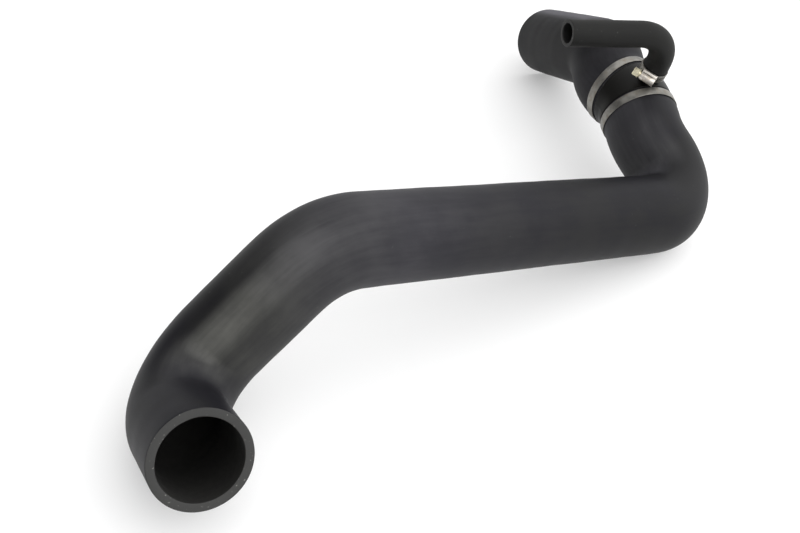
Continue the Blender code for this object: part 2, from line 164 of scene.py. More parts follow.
class ClampSizes(bpy.types.PropertyGroup):
    """Sizes of the two ear clamps."""

    width: millimetres("Width", "Band width", 8.0)
    thickness: millimetres("Thickness", "Band thickness", 0.8)
    inner: millimetres("Inner radius", "Band on the rubber", 34.95)
    offset: millimetres("Offset", "Band middle from the tee's centre", 18.0)
    ear_height: millimetres("Ear height", "Ear above the band", 6.5)
    ear_half: millimetres("Ear half width", "Half of the ear", 5.2)


class WormSizes(bpy.types.PropertyGroup):
    """Sizes of the worm clamp."""

    width: millimetres("Width", "Band width", 8.0)
    thickness: millimetres("Thickness", "Band thickness", 0.7)
    inner: millimetres("Inner radius", "Band on the rubber", 12.15)
    height: millimetres("Height", "Band middle from the tee's centre", 42.0)
    slot_pitch: millimetres("Slot pitch", "Distance between slots", 2.1)
    screw: millimetres("Screw radius", "Over the thread", 2.9)
    thread_pitch: millimetres("Thread pitch", "Worm thread", 1.9)
    across_flats: millimetres("Across flats", "Hex head", 7.0)
    housing_length: millimetres("Housing length", "Along the screw", 14.0)


class FinishColours(bpy.types.PropertyGroup):
    """Colours of the finishes."""

    rubber_dark: swatch("Rubber, dark", "Clean rubber in its hollows", (0.0072, 0.0069, 0.0100))
    rubber_light: swatch("Rubber, light", "Clean rubber elsewhere", (0.0120, 0.0119, 0.0125))
    # Painted light on the large hoses: the bluish colour on the sides that face the open and the left, the
    # olive one towards the painted highlight.
    haze: swatch("Bluish painted light", "Bluish grey haze where the rubber isn't rubbed", (0.0980, 0.0955, 0.1075))
    bloom: swatch("Painted light", "Grey bloom of aged rubber", (0.100, 0.100, 0.0925))
    branch: swatch("Branch rubber", "Branch hose", (0.0125, 0.0125, 0.0120))
    cut: swatch("Cut rubber", "Cut ends", (0.0205, 0.0205, 0.0195))
    tee: swatch("Tee plastic", "Connector", (0.0037, 0.0034, 0.0028))
    # Band steel is darker than bare steel: painted shade that stands for dark surroundings in its
    # reflection.
    steel: swatch("Band steel", "Clamp bands", (0.216, 0.210, 0.194))
    housing: swatch("Housing steel", "Screw housing", (0.80, 0.755, 0.69))
    zinc: swatch("Yellow zinc", "Screw plating", (0.92, 0.85, 0.62))


class StageSettings(bpy.types.PropertyGroup):
    """Floor, light and camera."""

    floor: swatch("Floor", "Floor colour", (0.62, 0.62, 0.62))
    surround: amount("Surround", "Strength of the white surround", 1.85)
    dim: amount("Dim side", "Share of the surround left on the dim side", 0.12)
    glow: amount("Floor glow", "Light from the floor", 0.30)
    key: amount("Key", "Overhead light, watts", 16.0)
    fill: amount("Fill", "Side light, watts", 4.0)
    lens: FloatProperty(name="Lens", description="Focal length, mm", default=50.0)


class Route:
    """Straight runs joined by round bends, measured along its length."""

    def __init__(self, corners, radii):
        legs = [b - a for a, b in zip(corners, corners[1:])]
        ways = [leg.normalized() for leg in legs]
        side = upright(ways[0])
        start = corners[0]
        self.pieces = []
        self.length = 0.0
        for i, radius in enumerate(radii):
            angle = ways[i].angle(ways[i + 1])
            take = radius * math.tan(angle / 2)
            stop = corners[i + 1] - ways[i] * take
            self.add((stop - start).length, start, ways[i], side)
            axis = ways[i].cross(ways[i + 1]).normalized()
            centre = stop + axis.cross(ways[i]) * radius
            self.add(radius * angle, stop, ways[i], side, axis, centre)
            side = Matrix.Rotation(angle, 3, axis) @ side
            start = corners[i + 1] + ways[i + 1] * take
        self.add((corners[-1] - start).length, start, ways[-1], side)

    def add(self, length, start, way, side, axis=None, centre=None):
        self.pieces.append((self.length, length, start, way, side, axis, centre))
        self.length += length

    def at(self, distance):
        """Point, way and side direction at a distance along the route."""
        for piece in self.pieces:
            begin, length, start, way, side, axis, centre = piece
            if distance <= begin + length or piece is self.pieces[-1]:
                break
        if axis is None:
            return start + way * (distance - begin), way, side
        turn = Matrix.Rotation((distance - begin) / (start - centre).length, 3, axis)
        return centre + turn @ (start - centre), turn @ way, turn @ side


def round_corner(one, here, two, steps):
    """Points of a curve from one point to another that leans to the corner between them."""
    parts = [k / steps for k in range(steps + 1)]
    return [one * (1 - t) ** 2 + here * 2 * t * (1 - t) + two * t * t for t in parts]


def soften(corners, step):
    """Closed outline of (x, y, rounding, slot) with its corners rounded and runs divided."""
    outline = []
    count = len(corners)
    for i, (x, y, radius, slot) in enumerate(corners):
        here = Vector((x, y))
        before = Vector(corners[i - 1][:2]) - here
        after = Vector(corners[(i + 1) % count][:2]) - here
        if radius <= 0:
            outline.append((here, slot))
            continue
        angle = math.pi - before.angle(after)
        take = min(radius * math.tan(angle / 2), before.length * 0.49, after.length * 0.49)
        one = here + before.normalized() * take
        two = here + after.normalized() * take
        steps = 4
        for k, spot in enumerate(round_corner(one, here, two, steps)):
            outline.append((spot, slot if k >= steps / 2 else corners[i - 1][3]))
    divided = []
    for (one, slot), (two, _) in zip(outline, outline[1:] + outline[:1]):
        parts = max(1, math.ceil((two - one).length / step))
        for k in range(parts):
            divided.append((one.lerp(two, k / parts), slot))
    return divided


def swept(name, route, outline, sides, shape, materials):
    """Ring shaped solid: an outline of (distance, radius) carried round a route."""
    rows = len(outline)
    angles = np.linspace(0.0, 2 * math.pi, sides, endpoint=False)
    verts = np.zeros((rows, sides, 3))
    for i, (spot, _) in enumerate(outline):
        point, way, side = route.at(spot.x)
        other = np.array(way.cross(side))
        rise, along = shape(spot.x, spot.y, angles)
        rings = np.outer(np.cos(angles), np.array(side)) + np.outer(np.sin(angles), other)
        centre = np.array(point + OFFSET)
        verts[i] = centre + rings * (spot.y + rise)[:, None] + np.outer(along, np.array(way))
    faces = []
    slots = []
    coords = []
    steps = [(b[0] - a[0]).length for a, b in zip(outline, outline[1:] + outline[:1])]
    run = np.cumsum([0.0] + steps)
    girth = 2 * math.pi * max(spot.y for spot, _ in outline)
    for i in range(rows):
        j = (i + 1) % rows
        u0, u1 = run[i] / UV_UNIT, run[i + 1] / UV_UNIT
        for k in range(sides):
            m = (k + 1) % sides
            faces.append((i * sides + k, i * sides + m, j * sides + m, j * sides + k))
            slots.append(outline[i][1])
            v0 = girth * k / sides / UV_UNIT
            v1 = girth * (k + 1) / sides / UV_UNIT
            coords += [u0, v0, u0, v1, u1, v1, u1, v0]
    mesh = bpy.data.meshes.new(name)
    mesh.from_pydata(verts.reshape(-1, 3).tolist(), [], faces)
    layer = mesh.uv_layers.new(name="along")
    layer.data.foreach_set("uv", coords)
    for item in materials:
        mesh.materials.append(item)
    mesh.polygons.foreach_set("material_index", slots)
    return finish_mesh(name, mesh)


def linked(name, data):
    """New object in the scene."""
    obj = bpy.data.objects.new(name, data)
    bpy.context.scene.collection.objects.link(obj)
    return obj


def shade(mesh, sharp_deg):
    """Smooth shading with edges sharp from an angle."""
    mesh.shade_smooth()
    mesh.set_sharp_from_angle(angle=math.radians(sharp_deg))


def finish_mesh(name, mesh, sharp_deg=40.0):
    """Object with faces pointing out and smooth shading."""
    bm = bmesh.new()
    bm.from_mesh(mesh)
    bmesh.ops.recalc_face_normals(bm, faces=bm.faces)
    if bm.calc_volume(signed=True) < 0:
        bmesh.ops.reverse_faces(bm, faces=bm.faces)
    bm.to_mesh(mesh)
    bm.free()
    shade(mesh, sharp_deg)
    old = bpy.data.objects.get(name)
    if old is not None:
        bpy.data.objects.remove(old)
    return linked(name, mesh)


def settle(obj, place, turn):
    """Puts a mesh drawn in its own frame at its place in the row frame."""
    obj.data.transform(Matrix.Translation(place + OFFSET) @ turn.to_4x4())
    return obj


def axes(z_way, x_way):
    """Rotation whose Z is the first way and whose X leans to the second."""
    z = z_way.normalized()
    x = (x_way - z * x_way.dot(z)).normalized()
    return Matrix((x, z.cross(x), z)).transposed()


def make_plain(obj):
    """Gives an object its evaluated mesh and drops its modifiers."""
    bpy.context.view_layer.update()
    depsgraph = bpy.context.evaluated_depsgraph_get()
    mesh = bpy.data.meshes.new_from_object(obj.evaluated_get(depsgraph))
    obj.modifiers.clear()
    obj.data = mesh


def combine(target, tool, operation):
    """Joins a tool to an object, or cuts it away, and keeps the plain mesh."""
    modifier = target.modifiers.new(operation.lower(), "BOOLEAN")
    modifier.operation = operation
    modifier.solver = "EXACT"
    modifier.object = tool
    make_plain(target)
    bpy.data.objects.remove(tool)


def waves(s, angles, size, seed):
    """Slow unevenness along and round a moulded wall."""
    total = np.zeros_like(angles)
    for k, (per_metre, turns) in enumerate(RIPPLES):
        phase = seed + 1.7 * k
        along = np.sin(2 * math.pi * per_metre * s + phase)
        total += along * np.cos(turns * angles + 2.3 * phase) / (1 + 0.4 * k)
    return size * total / 2.0


def bump(x, width):
    return math.exp(-(x / width) ** 2)


def hose_outline(length, outer, bore, rim, step):
    """Closed outline of a hose wall: skin, cut face, bore, cut face."""
    corners = [
        (0.0, outer, rim, 0),
        (length, outer, rim, 1),
        (length, bore, rim * 0.8, 2),
        (0.0, bore, rim * 0.8, 1),
    ]
    return soften(corners, step)


class Value:
    """A shader socket that takes part in Python sums."""

    def __init__(self, tree, socket):
        self.tree = tree
        self.socket = socket

    def sum(self, operation, other, flip=False):
        node = self.tree.nodes.new("ShaderNodeMath")
        node.operation = operation
        pair = (other, self) if flip else (self, other)
        for slot, item in zip(node.inputs, pair):
            if isinstance(item, Value):
                self.tree.links.new(item.socket, slot)
            else:
                slot.default_value = item
        return Value(self.tree, node.outputs[0])

    def __add__(self, other):
        return self.sum("ADD", other)

    def __radd__(self, other):
        return self.sum("ADD", other, True)

    def __sub__(self, other):
        return self.sum("SUBTRACT", other)

    def __rsub__(self, other):
        return self.sum("SUBTRACT", other, True)

    def __mul__(self, other):
        return self.sum("MULTIPLY", other)

    def __rmul__(self, other):
        return self.sum("MULTIPLY", other, True)


class Shading:
    """Shader nodes under construction in one node tree."""

    def __init__(self, tree):
        self.tree = tree

    def node(self, kind, settings=None, inputs=None, output=0):
        """A node with its settings made first, then its inputs; returns one output."""
        node = self.tree.nodes.new(kind)
        for key, value in (settings or {}).items():
            if key == "stops":
                ramp = node.color_ramp
                for place, _ in value[1:-1]:
                    ramp.elements.new(place)
                for element, (place, colour) in zip(ramp.elements, value):
                    element.position = place
                    element.color = colour
            else:
                setattr(node, key, value)
        for key, value in (inputs or {}).items():
            if isinstance(value, Value):
                self.tree.links.new(value.socket, node.inputs[key])
            else:
                node.inputs[key].default_value = value
        return Value(self.tree, node.outputs[output])

    def split(self, vector, axis):
        """One part of a vector."""
        return self.node("ShaderNodeSeparateXYZ", None, {"Vector": vector}, axis)

    def ease(self, value, low, high):
        """Smooth step of a value between two edges."""
        inputs = {"Value": value, "From Min": low, "From Max": high}
        return self.node("ShaderNodeMapRange", {"interpolation_type": "SMOOTHSTEP"}, inputs)


class Finish(Shading):
    """One material under construction."""

    def __init__(self, name):
        self.material = bpy.data.materials.new(name)
        self.material.use_nodes = True
        super().__init__(self.material.node_tree)
        self.shader = self.tree.nodes["Principled BSDF"]
        self.spot = self.node("ShaderNodeTexCoord", output="Object")
        self.uv = self.node("ShaderNodeTexCoord", output="UV")

    def noise(self, scale, detail=3.0, vector=None):
        """Noise over the object, or over another vector."""
        inputs = {
            "Vector": vector or self.spot, "Scale": scale, "Detail": detail, "Roughness": 0.55}
        return self.node("ShaderNodeTexNoise", None, inputs)

    def streaks(self, along, across, detail=3.0, scale=3.0):
        """Noise drawn out along a piece by its UV map."""
        inputs = {"Vector": self.uv, "Scale": (along, across, 1.0)}
        return self.noise(scale, detail, self.node("ShaderNodeMapping", None, inputs))

    def mix(self, factor, one, two):
        """Colour between two colours."""
        one, two = (c if isinstance(c, Value) else (*c, 1.0) for c in (one, two))
        return self.node("ShaderNodeMix", {"data_type": "RGBA"}, {0: factor, 6: one, 7: two}, 2)

    def tones(self, factor, colour, low, high):
        """Colour between two shares of one colour."""
        return self.mix(factor, share_of(colour, low), share_of(colour, high))

    def bump(self, height, distance, strength):
        """Normal bent by a height."""
        inputs = {"Height": height, "Distance": distance, "Strength": strength}
        return self.node("ShaderNodeBump", None, inputs)

    def set(self, **values):
        """Links or sets the shader's inputs by name and returns the material."""
        for key, value in values.items():
            slot = self.shader.inputs[key.replace("_", " ").title().replace("Ior", "IOR")]
            if isinstance(value, Value):
                self.tree.links.new(value.socket, slot)
            else:
                slot.default_value = value
        return self.material


def share_of(colour, share):
    """Darker or lighter form of a colour."""
    return tuple(c * share for c in colour)


# Each large hose: its painted light, the share of its clean rubber colour that is kept, lower on the
# elbow as painted shade, how much it mirrors, the way that its painted highlight faces, how narrow
# that highlight is, and how olive it looks. A row of the painted light holds the distance from the
# hose's start in metres, then its share on the open side, on the left side and on the painted highlight.
MAIN_RUBBER = {
    "bloom": [
        (0.0, 0.0, 0.0, 0.0), (0.045, 0.01, 0.0, 0.0), (0.10, 0.32, 0.0, 0.36),
        (0.17, 0.30, 0.0, 0.60), (0.23, 0.30, 0.21, 0.22), (0.29, 0.29, 0.30, 0.0),
        (0.36, 0.14, 0.27, 0.0), (0.45, 0.05, 0.08, 0.0), (0.56, 0.0, 0.0, 0.0),
        (0.62, 0.045, 0.30, 0.0), (0.67, 0.03, 0.36, 0.22), (0.74, 0.11, 0.38, 0.0),
    ],
    "painted_shade_share": 0.8, "mirror": 0.112,
    "painted_highlight_way": (-0.10, -0.72, 0.68), "painted_highlight_from": 0.87, "olive": 2.0,
}
ELBOW_RUBBER = {
    "bloom": [
        (0.0, 0.22, 0.30, 0.0), (0.035, 0.17, 0.14, 0.0), (0.06, 0.04, 0.05, 0.2),
        (0.09, 0.03, 0.03, 1.9), (0.23, 0.13, 0.06, 2.0),
    ],
    "painted_shade_share": 0.2, "mirror": 0.065,
    "painted_highlight_way": (0.0, 0.0, 1.0), "painted_highlight_from": 0.76, "olive": 0.0,
}


def hose_rubber(colours, name, rubber):
    """Satin black rubber with painted light and a painted highlight, set by the distance along the hose
    and by the way the surface faces, made patchy by noise.
    """
    f = Finish(name)
    slow = f.noise(8.5, 2.0)
    cloud = f.noise(30.0, 4.0)
    streak = f.streaks(0.9, 7.0, 4.0)
    fine = f.streaks(2.5, 60.0)
    grain = f.noise(1500.0, 2.0)
    handled = f.ease(slow * 0.5 + cloud * 0.3 + streak * 0.2, 0.42, 0.62)
    both = (colours.rubber_dark, colours.rubber_light)
    # Painted shade: the clean rubber colour is kept only to a share, lowest on the elbow.
    clean = f.mix(handled, *(share_of(c, rubber["painted_shade_share"]) for c in both))
    # Painted light and painted highlight, with shares that change along the hose from the table.
    stops = [(place, (*shares, 1.0)) for place, *shares in rubber["bloom"]]
    metres = f.split(f.uv, "X") * UV_UNIT
    zone = f.node("ShaderNodeValToRGB", {"stops": stops}, {"Fac": metres})
    on_open, on_left, on_painted_highlight = (f.split(zone, axis) for axis in "XYZ")
    facing = f.node("ShaderNodeTexCoord", output="Normal")
    facing_left = f.split(facing, "X") * -1.0
    x, y, z = (f.split(facing, axis) * c for axis, c in zip("XYZ", rubber["painted_highlight_way"]))
    # Painted light on the sides that face the open and the left, less where the surface turns right.
    turned_left = f.ease(facing_left, 0.12, 0.58)
    turned_away = f.ease(facing_left * -1.0, 0.35, 0.95) * 0.5
    open_side = on_open * (1.0 - turned_left) * (1.0 - turned_away)
    # Painted highlight where the surface faces the given way.
    painted_highlight = on_painted_highlight * f.ease(x + y + z, rubber["painted_highlight_from"], 1.0)
    patchy = 0.72 + f.ease(cloud * 0.5 + streak * 0.3 + slow * 0.2, 0.36, 0.66) * 0.5
    # All painted light, made patchy by noise, bluish on the sides and olive towards the main hose's
    # painted highlight.
    bloom = (open_side + on_left * turned_left + painted_highlight) * patchy
    painted_light_colour = f.mix(on_painted_highlight * rubber["olive"], colours.haze, colours.bloom)
    colour = f.mix(bloom, clean, painted_light_colour)
    dust = f.ease(f.noise(420.0, 2.0), 0.70, 0.80)
    colour = f.mix(dust * 0.25, colour, (0.08, 0.08, 0.076))
    rough = 0.40 + cloud * 0.14 + streak * 0.06 + bloom * 0.12
    normal = f.bump(grain * 0.35 + fine * 0.3 + cloud * 0.6, 0.00007, 0.6)
    return f.set(base_color=colour, roughness=rough, normal=normal,
                 specular_ior_level=rubber["mirror"])


def cut_rubber(name, cut):
    """Cut end with knife drag and a few light specks."""
    f = Finish(name)
    cloud = f.noise(90.0)
    drag = f.streaks(30.0, 1.5)
    speck = f.ease(f.noise(520.0, 1.0), 0.70, 0.76)
    colour = f.tones(cloud * 0.6 + drag * 0.4, cut, 0.75, 1.25)
    colour = f.mix(speck * 0.6, colour, (0.22, 0.22, 0.20))
    normal = f.bump(cloud * 0.5 + drag * 0.7 + speck * 0.5, 0.00012, 0.7)
    return f.set(base_color=colour, roughness=0.62 + cloud * 0.15, normal=normal)


def bore_rubber(name, painted_shade_share):
    """Black inside of a hose with a patchy film, kept to a share of its colour as painted shade in the
    bore.
    """
    f = Finish(name)
    film = f.ease(f.noise(60.0), 0.4, 0.65)
    both = ((0.024, 0.0235, 0.022), (0.036, 0.0355, 0.033))
    # Painted shade: the bore colour is cut to a share, lowest in the branch hose.
    colour = f.mix(film, *(share_of(c, painted_shade_share) for c in both))
    normal = f.bump(f.streaks(4.0, 30.0), 0.00008, 0.5)
    return f.set(base_color=colour, roughness=0.62 - film * 0.12, normal=normal)


def branch_rubber(colour):
    """Matt black rubber of the small hose with a cloth pressed grain."""
    f = Finish("branch_rubber_finish")
    cloud = f.noise(55.0, 4.0)
    streak = f.streaks(1.5, 30.0)
    grain = f.noise(1800.0, 2.0)
    dust = f.ease(f.noise(500.0, 2.0), 0.69, 0.78)
    black = f.tones(cloud * 0.6 + streak * 0.4, colour, 0.6, 1.45)
    black = f.mix(dust * 0.4, black, (0.10, 0.10, 0.095))
    normal = f.bump(grain * 0.4 + cloud * 0.5 + streak * 0.3, 0.00007, 0.7)
    return f.set(base_color=black, roughness=0.50 + cloud * 0.16, normal=normal,
                 specular_ior_level=0.1)


def tee_plastic(colour):
    """Smooth brown black moulded plastic."""
    f = Finish("tee_plastic_finish")
    cloud = f.noise(45.0)
    flow = f.streaks(3.0, 14.0, 4.0)
    pit = f.noise(1300.0, 2.0)
    plastic = f.tones(cloud, colour, 0.75, 1.3)
    normal = f.bump(pit * 0.3 + flow * 0.5, 0.00005, 0.6)
    return f.set(base_color=plastic, roughness=0.34 + cloud * 0.14, normal=normal,
                 specular_ior_level=0.14)


def band_steel(name, colour, tint):
    """Satin strip with rolling lines, dull patches and darker stains."""
    f = Finish(name)
    patch = f.noise(75.0)
    stain = f.ease(f.noise(160.0, 4.0), 0.50, 0.72)
    line = f.streaks(2.0, 700.0, 2.0, 1.0)
    metal = f.tones(f.ease(patch, 0.35, 0.65), colour, 0.62, 1.15)
    metal = f.mix(stain * 0.45, metal, tint)
    rough = 0.34 + patch * 0.18 + stain * 0.12
    normal = f.bump(line * 0.6 + patch * 0.3, 0.00002, 0.6)
    return f.set(base_color=metal, roughness=rough, metallic=1.0, normal=normal)


def zinc_plate(colour):
    """Yellow zinc plate, browner in its low places."""
    f = Finish("screw_zinc_finish")
    tone = f.noise(330.0)
    worn = f.ease(f.noise(700.0), 0.45, 0.65)
    metal = f.tones(tone, colour, 0.65, 1.0)
    metal = f.mix(worn * 0.5, metal, (0.78, 0.74, 0.62))
    normal = f.bump(tone * 0.5 + worn * 0.4, 0.00003, 0.6)
    return f.set(base_color=metal, roughness=0.30 + tone * 0.15, metallic=1.0, normal=normal)


def floor_paint(colour, glow):
    """Pale floor that glows a little: painted light that lightens the shadows on it and lights the hose
    from below.
    """
    f = Finish("floor_paint")
    tone = f.tones(f.noise(0.8, 2.0), colour, 0.99, 1.0)
    white = (1.0, 1.0, 1.0, 1.0)
    return f.set(base_color=tone, roughness=0.8, emission_color=white, emission_strength=glow)


def material(name):
    return bpy.data.materials[name]


class HOSE_OT_finishes(bpy.types.Operator):
    """Make every finish."""

    bl_idname = "hose.finishes"
    bl_label = "Finishes"

    def execute(self, context):
        colours = context.scene.hose_colours
        hose_rubber(colours, "main_rubber_finish", MAIN_RUBBER)
        hose_rubber(colours, "elbow_rubber_finish", ELBOW_RUBBER)
        cut_rubber("cut_rubber_finish", colours.cut)
        cut_rubber("branch_cut_finish", colours.branch)
        # The bores keep a share of their colour, lower as painted shade in the branch hose.
        bore_rubber("bore_rubber_finish", 0.6)
        bore_rubber("branch_bore_finish", 0.12)
        branch_rubber(colours.branch)
        tee_plastic(colours.tee)
        band_steel("band_steel_finish", colours.steel, (0.20, 0.16, 0.12))
        band_steel("housing_steel_finish", colours.housing, (0.40, 0.31, 0.21))
        zinc_plate(colours.zinc)
        stage = context.scene.hose_stage
        floor_paint(stage.floor, stage.glow)
        return {"FINISHED"}


def squeezed(band, clamp_width, tip):
    """Wall swelling round a band at a distance, and over the spigot's bead."""
    def rise(s):
        away = abs(s - band)
        past = max(0.0, away - clamp_width / 2)
        pinch = -0.35 * MM * bump(past, 1.2 * MM)
        lip = 0.12 * MM * bump(away - clamp_width * 0.95, 2.5 * MM)
        bead = 0.25 * MM * bump(s - tip, 5.0 * MM)
        return pinch + lip + bead
    return rise


def large_hose(context, name, rubber, route, band, tip, seed, open_end):
    """One of the two large hoses, with its squeezed and its cut end."""
    sizes = context.scene.hose_sizes
    clamp = context.scene.hose_clamps
    bore = sizes.outer - sizes.wall
    outline = hose_outline(route.length, sizes.outer - 0.05 * MM, bore, sizes.rim, 3.0 * MM)
    swell = squeezed(band, clamp.width, tip)

    def shape(s, r, angles):
        along = np.zeros_like(angles)
        near_open = math.exp(-abs(s - open_end) / (22.0 * MM))
        if r > bore + sizes.rim:
            rise = waves(s, angles, sizes.waviness, seed) - sizes.waviness + swell(s)
        else:
            rise = waves(s, angles, sizes.waviness * 0.7, seed + 2.0)
        rise = rise - 0.45 * MM * near_open * (1 + np.cos(2 * angles + 0.9)) / 2
        if bore < r < sizes.outer and abs(s - open_end) < 0.2 * MM:
            along = 0.14 * MM * (np.sin(3 * angles + seed) + 0.6 * np.sin(7 * angles + 2 * seed))
            along = along - 0.25 * MM if open_end > 0 else along + 0.25 * MM
        return rise, along

    skins = [material(rubber), material("cut_rubber_finish"), material("bore_rubber_finish")]
    return swept(name, route, outline, sizes.sides, shape, skins)


class HOSE_OT_main(bpy.types.Operator):
    """Make the main hose, from its open front end to the tee."""

    bl_idname = "hose.main"
    bl_label = "Main hose"

    def execute(self, context):
        tee = context.scene.hose_tee
        stop = TEE_CENTRE - MAIN_SIDE * (tee.bare_half + SEAT_GAP)
        corners = [FRONT_END, FRONT_BEND, SHOULDER_BEND, REAR_BEND, RISE_BEND, NECK_BEND, stop]
        route = Route(corners, MAIN_RADII)
        band = route.length - (context.scene.hose_clamps.offset - tee.bare_half - SEAT_GAP)
        tip = route.length - tee.spigot_length + BEAD_FROM_TIP
        names = ("main_hose_skin", "main_rubber_finish")
        obj = large_hose(context, *names, route, band, tip, seed=0.6, open_end=0.0)
        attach(obj, "hose_assembly")
        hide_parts("main_hose")
        return {"FINISHED"}


class HOSE_OT_elbow(bpy.types.Operator):
    """Make the elbow hose, from the tee to the open rear end."""

    bl_idname = "hose.elbow"
    bl_label = "Elbow hose"

    def execute(self, context):
        tee = context.scene.hose_tee
        start = TEE_CENTRE + ELBOW_SIDE * (tee.bare_half + SEAT_GAP)
        route = Route([start, ELBOW_NECK_BEND, ELBOW_BEND, REAR_END], ELBOW_RADII)
        band = context.scene.hose_clamps.offset - tee.bare_half - SEAT_GAP
        tip = tee.spigot_length - BEAD_FROM_TIP
        names = ("elbow_hose_skin", "elbow_rubber_finish")
        obj = large_hose(context, *names, route, band, tip, seed=3.1, open_end=route.length)
        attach(obj, "hose_assembly")
        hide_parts("elbow_hose")
        return {"FINISHED"}


class HOSE_OT_branch(bpy.types.Operator):
    """Make the branch hose, from the tee's stub to its open end."""

    bl_idname = "hose.branch"
    bl_label = "Branch hose"

    def execute(self, context):
        sizes = context.scene.hose_sizes
        tee = context.scene.hose_tee
        worm = context.scene.hose_worm
        foot = tee.body + tee.boss_rise + SEAT_GAP
        route = Route([TEE_CENTRE + BRANCH_SIDE * foot, BRANCH_BEND, BRANCH_END], BRANCH_RADII)
        bore = sizes.branch_outer - sizes.branch_wall
        outline = hose_outline(route.length, sizes.branch_outer, bore, 0.5 * MM, 2.0 * MM)
        band = worm.height - foot

        def shape(s, r, angles):
            rise = waves(s, angles, 0.08 * MM, 5.0)
            if r > bore + 0.6 * MM:
                stretch = 1.0 / (1.0 + math.exp((s - 12.5 * MM) / (1.0 * MM)))
                rise = rise + stretch * (worm.inner - sizes.branch_outer - 0.05 * MM)
                rise = rise - 0.10 * MM * bump(s - band, worm.width * 0.5)
                rise = rise - 0.08 * MM
            return rise, np.zeros_like(angles)

        skins = [material("branch_" + part + "_finish") for part in ("rubber", "cut", "bore")]
        sides = 64
        obj = swept("branch_hose_skin", route, outline, sides, shape, skins)
        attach(obj, "hose_assembly")
        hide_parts("branch_hose")
        return {"FINISHED"}


class HOSE_OT_tee(bpy.types.Operator):
    """Make the angled tee with its beaded spigots and stub."""

    bl_idname = "hose.tee"
    bl_label = "Tee connector"

    def execute(self, context):
        t = context.scene.hose_tee
        reach = t.bare_half + t.spigot_length
        ends = (TEE_CENTRE - MAIN_SIDE * reach, TEE_CENTRE, TEE_CENTRE + ELBOW_SIDE * reach)
        route = Route(ends, (TEE_BEND_RADIUS,))
        total = route.length
        bead = 0.6 * MM
        half = [
            (0.0, t.spigot - bead, 0.3 * MM, 0),
            (2.0 * MM, t.spigot + bead, 0.8 * MM, 0),
            (3.6 * MM, t.spigot + bead, 0.5 * MM, 0),
            (4.2 * MM, t.spigot, 0.4 * MM, 0),
            (t.spigot_length, t.spigot, 0.3 * MM, 0),
            (t.spigot_length, t.body, 1.1 * MM, 0),
        ]
        corners = half + [(total - s, r, f, 0) for s, r, f, _ in reversed(half)]
        corners += [(total, t.bore, 0.6 * MM, 0), (0.0, t.bore, 0.6 * MM, 0)]
        outline = soften(corners, 2.0 * MM)

        def shape(s, r, angles):
            ridge = np.zeros_like(angles)
            if r > t.body - 0.4 * MM:
                for centre in (math.pi / 2, 3 * math.pi / 2):
                    gap = (angles - centre + math.pi) % (2 * math.pi) - math.pi
                    ridge += 0.22 * MM * np.exp(-(gap * t.body / (0.6 * MM)) ** 2)
            return ridge + waves(s, angles, 0.05 * MM, 8.0), np.zeros_like(angles)

        body = swept("tee_skin", route, outline, 144, shape, [material("tee_plastic_finish")])
        self.add_stub(body, t)
        finished = finish_mesh("tee_skin_whole", body.data, 32.0)
        bpy.data.objects.remove(body)
        finished.name = "tee_skin"
        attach(finished, "hose_assembly")
        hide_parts("tee_connector")
        return {"FINISHED"}

    def add_stub(self, body, t):
        """Joins the boss and beaded stub, then drills them."""
        top = t.body + t.boss_rise
        tip = top + t.stub_length
        seat = (t.body + t.bore) / 2
        spread = 2.2 * MM
        sunk = 3.0 * MM
        flare = [(t.boss + spread * (1 - k / 5) ** 2, t.body - sunk * (1 - k / 5)) for k in range(6)]
        profile = [(t.boss + spread, seat)] + flare
        profile += [(t.boss, top - 0.3 * MM), (t.boss - 0.3 * MM, top), (t.stub, top)]
        profile += [(t.stub, tip - 2.8 * MM), (t.stub + 0.5 * MM, tip - 2.0 * MM)]
        profile += [(t.stub + 0.5 * MM, tip - 0.8 * MM), (t.stub, tip)]
        turn = axes(BRANCH_SIDE, MAIN_SIDE)
        stub = turned("stub", profile, 64, "tee_plastic_finish")
        settle(stub, TEE_CENTRE, turn)
        combine(body, stub, "UNION")
        hole = t.stub - 1.8 * MM
        profile = [(hole, 15.0 * MM), (hole, tip + 1.0 * MM)]
        drill = turned("drill", profile, 48, "tee_plastic_finish")
        settle(drill, TEE_CENTRE, turn)
        combine(body, drill, "DIFFERENCE")


def facets(bm, one, two, along, across):
    """Faces between two closed rows of vertices, with their places in the UV map."""
    layer = bm.loops.layers.uv.verify()
    u0, u1 = along
    for k, (v0, v1) in enumerate(across):
        m = (k + 1) % len(one)
        face = bm.faces.new((one[k], one[m], two[m], two[k]))
        for corner, spot in zip(face.loops, ((u0, v0), (u0, v1), (u1, v1), (u1, v0))):
            corner[layer].uv = spot


def from_bmesh(name, bm, materials, sharp_deg):
    """Object from a bmesh, which is freed."""
    mesh = bpy.data.meshes.new(name)
    bm.to_mesh(mesh)
    bm.free()
    for item in materials:
        mesh.materials.append(item)
    return finish_mesh(name, mesh, sharp_deg)


def turned(name, profile, sides, finish, across=None):
    """Solid of circles along Z from (radius, height); across clips rings to a hexagon."""
    bm = bmesh.new()
    bm.loops.layers.uv.new("along")
    loops = []
    for i, (radius, height) in enumerate(profile):
        loop = []
        for k in range(sides):
            a = 2 * math.pi * k / sides
            reach = radius
            if across and across[i]:
                sector = (a + math.pi / 6) % (math.pi / 3) - math.pi / 6
                reach = min(radius, across[i] / 2 / math.cos(sector))
            loop.append(bm.verts.new((reach * math.cos(a), reach * math.sin(a), height)))
        loops.append(loop)
    round_it = [(k / sides, (k + 1) / sides) for k in range(sides)]
    for (_, height), one, two in zip(profile, loops, loops[1:]):
        u = height / UV_UNIT
        facets(bm, one, two, (u, u + 0.01), round_it)
    bm.faces.new(loops[0])
    bm.faces.new(loops[-1])
    return from_bmesh(name, bm, [material(finish)], 32.0)


